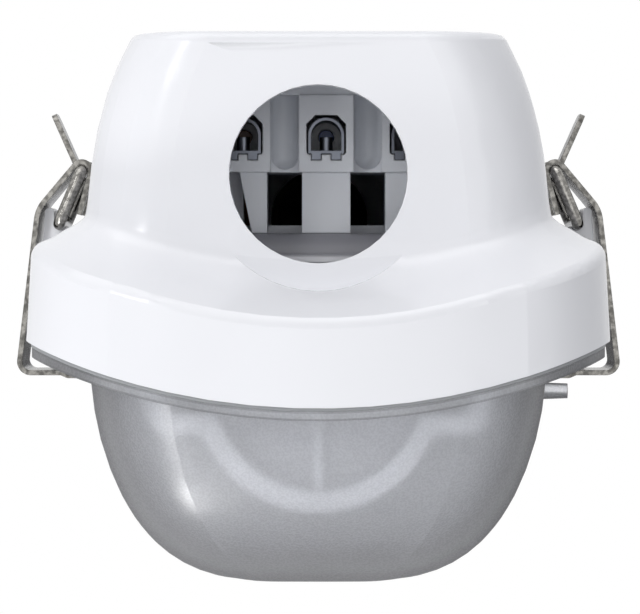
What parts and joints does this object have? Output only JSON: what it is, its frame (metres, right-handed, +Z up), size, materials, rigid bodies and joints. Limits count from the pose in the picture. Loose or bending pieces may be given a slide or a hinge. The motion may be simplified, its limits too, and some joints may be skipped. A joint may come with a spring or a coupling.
{
  "type": "waterproof batten light",
  "caption": "Long ceiling batten light with a domed white housing, a frosted bowl diffuser on a curved sealed rim, sprung over-centre clips and an end cable entry.",
  "frame": {"origin": "centre of the flat roof face that goes against the ceiling", "axes": "+X across the light, +Y along its length away from the cable entry, +Z up to the ceiling"},
  "size_m": [0.092, 0.6606, 0.0797],
  "materials": {
    "housing_white": "glossy moulded white",
    "diffuser_frosted": "satin frosted, see-through",
    "seal_grey": "silicone, matte",
    "rubber_black": "matte",
    "clip_strip_steel": "rolled stainless strip",
    "clip_wire_steel": "drawn stainless wire",
    "tray_white": "white powder coat",
    "bracket_zinc": "zinc grey",
    "cap_white": "moulded white",
    "lens_opal": "opal",
    "board_white": "white solder mask",
    "led_yellow": "phosphor under clear resin",
    "screw_steel": "zinc plated",
    "driver_white": "moulded, fine texture",
    "board_green": "solder mask",
    "component_black": "moulded",
    "terminal_white": "moulded nylon",
    "cage_zinc": "zinc plated",
    "wire_brown": "insulation",
    "wire_blue": "insulation",
    "wire_green_yellow": "insulation",
    "wire_red": "insulation",
    "lug_tin": "tinned copper"
  },
  "bodies": {
    "housing_body": {"housing": "housing_white", "gasket": "seal_grey", "fixing_seals": "rubber_black", "blanking_plug": "rubber_black", "diffuser": "diffuser_frosted", "gear_tray": "tray_white", "inner_lens": "lens_opal", "tray_end_cap_front": "cap_white", "tray_end_cap_rear": "cap_white", "led_board_front": "board_white", "led_board_rear": "board_white", "led_chips_front": "led_yellow", "led_chips_rear": "led_yellow", "tray_screws": "screw_steel", "board_screws": "screw_steel", "bracket_screws": "screw_steel", "driver_screws": "screw_steel", "earth_screw": "screw_steel", "driver_case": "driver_white", "driver_cover": "driver_white", "driver_board": "board_green", "driver_components": "component_black", "terminal_block": "terminal_white", "terminal_cages": "cage_zinc", "terminal_screws": "screw_steel", "terminal_bracket": "bracket_zinc", "wire_live": "wire_brown", "wire_neutral": "wire_blue", "wire_earth": "wire_green_yellow", "earth_lug": "lug_tin", "wire_led_plus": "wire_red", "wire_led_minus": "component_black", "tray_grommet": "rubber_black"},
    "link_left_front": {"clip_link_left_front": "clip_wire_steel"},
    "latch_left_front": {"clip_latch_left_front": "clip_strip_steel"},
    "link_left_middle": {"clip_link_left_middle": "clip_wire_steel"},
    "latch_left_middle": {"clip_latch_left_middle": "clip_strip_steel"},
    "link_left_rear": {"clip_link_left_rear": "clip_wire_steel"},
    "latch_left_rear": {"clip_latch_left_rear": "clip_strip_steel"},
    "link_right_front": {"clip_link_right_front": "clip_wire_steel"},
    "latch_right_front": {"clip_latch_right_front": "clip_strip_steel"},
    "link_right_middle": {"clip_link_right_middle": "clip_wire_steel"},
    "latch_right_middle": {"clip_latch_right_middle": "clip_strip_steel"},
    "link_right_rear": {"clip_link_right_rear": "clip_wire_steel"},
    "latch_right_rear": {"clip_latch_right_rear": "clip_strip_steel"}
  },
  "joints": [
    {"name": "link_swing_left_front", "type": "hinge", "parent": "housing_body", "child": "link_left_front", "pos_m": [-0.0396, -0.258, -0.02715], "axis": [0, -1, 0], "range_deg": [0, 105]},
    {"name": "latch_swing_left_front", "type": "hinge", "parent": "link_left_front", "child": "latch_left_front", "pos_m": [-0.03615, -0.258, -0.019], "axis": [0, -1, 0], "range_deg": [-132, 0]},
    {"name": "link_swing_left_middle", "type": "hinge", "parent": "housing_body", "child": "link_left_middle", "pos_m": [-0.0396, 0, -0.02715], "axis": [0, -1, 0], "range_deg": [0, 105]},
    {"name": "latch_swing_left_middle", "type": "hinge", "parent": "link_left_middle", "child": "latch_left_middle", "pos_m": [-0.03615, 0, -0.019], "axis": [0, -1, 0], "range_deg": [-132, 0]},
    {"name": "link_swing_left_rear", "type": "hinge", "parent": "housing_body", "child": "link_left_rear", "pos_m": [-0.0396, 0.258, -0.02715], "axis": [0, -1, 0], "range_deg": [0, 105]},
    {"name": "latch_swing_left_rear", "type": "hinge", "parent": "link_left_rear", "child": "latch_left_rear", "pos_m": [-0.03615, 0.258, -0.019], "axis": [0, -1, 0], "range_deg": [-132, 0]},
    {"name": "link_swing_right_front", "type": "hinge", "parent": "housing_body", "child": "link_right_front", "pos_m": [0.0396, -0.258, -0.02715], "axis": [0, 1, 0], "range_deg": [0, 105]},
    {"name": "latch_swing_right_front", "type": "hinge", "parent": "link_right_front", "child": "latch_right_front", "pos_m": [0.03615, -0.258, -0.019], "axis": [0, 1, 0], "range_deg": [-132, 0]},
    {"name": "link_swing_right_middle", "type": "hinge", "parent": "housing_body", "child": "link_right_middle", "pos_m": [0.0396, 0, -0.02715], "axis": [0, 1, 0], "range_deg": [0, 105]},
    {"name": "latch_swing_right_middle", "type": "hinge", "parent": "link_right_middle", "child": "latch_right_middle", "pos_m": [0.03615, 0, -0.019], "axis": [0, 1, 0], "range_deg": [-132, 0]},
    {"name": "link_swing_right_rear", "type": "hinge", "parent": "housing_body", "child": "link_right_rear", "pos_m": [0.0396, 0.258, -0.02715], "axis": [0, 1, 0], "range_deg": [0, 105]},
    {"name": "latch_swing_right_rear", "type": "hinge", "parent": "link_right_rear", "child": "latch_right_rear", "pos_m": [0.03615, 0.258, -0.019], "axis": [0, 1, 0], "range_deg": [-132, 0]}
  ],
  "couplings": [
    {"joint": "latch_swing_left_front", "follows": "link_swing_left_front", "ratio": -1.25},
    {"joint": "latch_swing_left_middle", "follows": "link_swing_left_middle", "ratio": -1.25},
    {"joint": "latch_swing_left_rear", "follows": "link_swing_left_rear", "ratio": -1.25},
    {"joint": "latch_swing_right_front", "follows": "link_swing_right_front", "ratio": -1.25},
    {"joint": "latch_swing_right_middle", "follows": "link_swing_right_middle", "ratio": -1.25},
    {"joint": "latch_swing_right_rear", "follows": "link_swing_right_rear", "ratio": -1.25}
  ]
}
